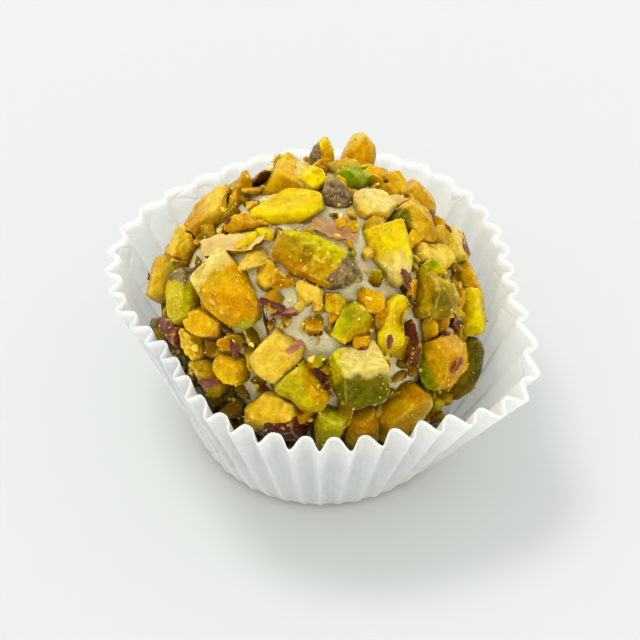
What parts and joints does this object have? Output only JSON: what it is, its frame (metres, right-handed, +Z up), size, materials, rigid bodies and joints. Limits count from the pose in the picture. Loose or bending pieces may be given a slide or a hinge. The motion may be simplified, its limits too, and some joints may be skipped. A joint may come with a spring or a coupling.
{
  "type": "brigadeiro",
  "caption": "Ball of pale milk fudge rolled in coarsely chopped pistachio pieces, sitting in a fluted white paper case with a splayed rim.",
  "frame": {"origin": "centre of the flat underside of the paper case", "axes": "+Z up out of the case, through the ball; -Y towards the side where the rim is level and the pleats stand closest together; +X towards the splayed right side"},
  "size_m": [0.0487, 0.0504, 0.0356],
  "materials": {
    "paper": "thin white greaseproof paper, softly translucent",
    "fudge": "pale cooked milk fudge, smooth and glossy",
    "amber_nut": "roasted pistachio, amber broken flesh",
    "lemon_nut": "pistachio, bright lemon-yellow flesh",
    "pale_nut": "pistachio, pale cream-yellow broken flesh",
    "tan_nut": "roasted pistachio, tan crumbly flesh",
    "orange_nut": "roasted pistachio, orange-brown flesh",
    "green_nut": "pistachio, green flesh with paler edges",
    "olive_nut": "pistachio, olive-brown kernel with thin skin",
    "skin_nut": "pistachio with its dark purple-brown skin"
  },
  "bodies": {
    "root": {"paper_case": "paper", "fudge_ball": "fudge", "nut_tall_end": "amber_nut", "nut_small_end": "lemon_nut", "nut_crown_wedge": "amber_nut", "nut_green_flake": "green_nut", "nut_grey_end": "skin_nut", "nut_lemon_slab": "lemon_nut", "nut_big_kernel": "olive_nut", "nut_yellow_kernel": "lemon_nut", "nut_amber_kernel": "amber_nut", "nut_green_cube": "green_nut", "nut_orange_lump": "orange_nut", "nut_front_lump": "tan_nut", "nut_olive_end": "olive_nut", "nut_pale_block": "pale_nut", "nut_green_lump": "green_nut", "nut_lemon_bone": "lemon_nut", "nut_brown_shard": "amber_nut", "nut_tan_slab": "tan_nut", "nut_split_kernel": "tan_nut", "nut_tan_cube": "pale_nut", "nut_green_block": "green_nut", "nut_left_block": "tan_nut", "nut_left_slab": "tan_nut", "nut_purple_block": "skin_nut", "nut_amber_chip": "amber_nut", "nut_tan_stick": "tan_nut", "nut_olive_slab": "olive_nut", "nut_amber_block": "amber_nut", "nut_lemon_curl": "lemon_nut", "nut_pale_chip": "pale_nut", "nut_tan_chip": "tan_nut", "nut_green_chip": "green_nut", "nut_right_block": "pale_nut", "nut_right_oblong": "pale_nut", "nut_right_amber": "amber_nut", "nut_lemon_block": "lemon_nut", "nut_dark_kernel": "olive_nut", "nut_amber_slab": "amber_nut", "nut_olive_oblong": "olive_nut", "nut_orange_block": "orange_nut", "nut_low_slab": "olive_nut", "nut_low_block": "olive_nut", "nut_back_nut_1": "amber_nut", "nut_back_nut_2": "lemon_nut", "nut_back_nut_3": "skin_nut", "nut_back_nut_4": "green_nut", "nut_back_nut_5": "olive_nut", "nut_back_nut_6": "orange_nut", "nut_back_nut_7": "tan_nut", "nut_back_nut_8": "pale_nut", "nut_back_nut_9": "amber_nut", "nut_back_nut_10": "lemon_nut", "nut_back_nut_11": "skin_nut", "nut_back_nut_12": "green_nut", "nut_back_nut_13": "olive_nut", "nut_back_nut_14": "orange_nut", "nut_back_nut_15": "tan_nut"}
  },
  "joints": []
}
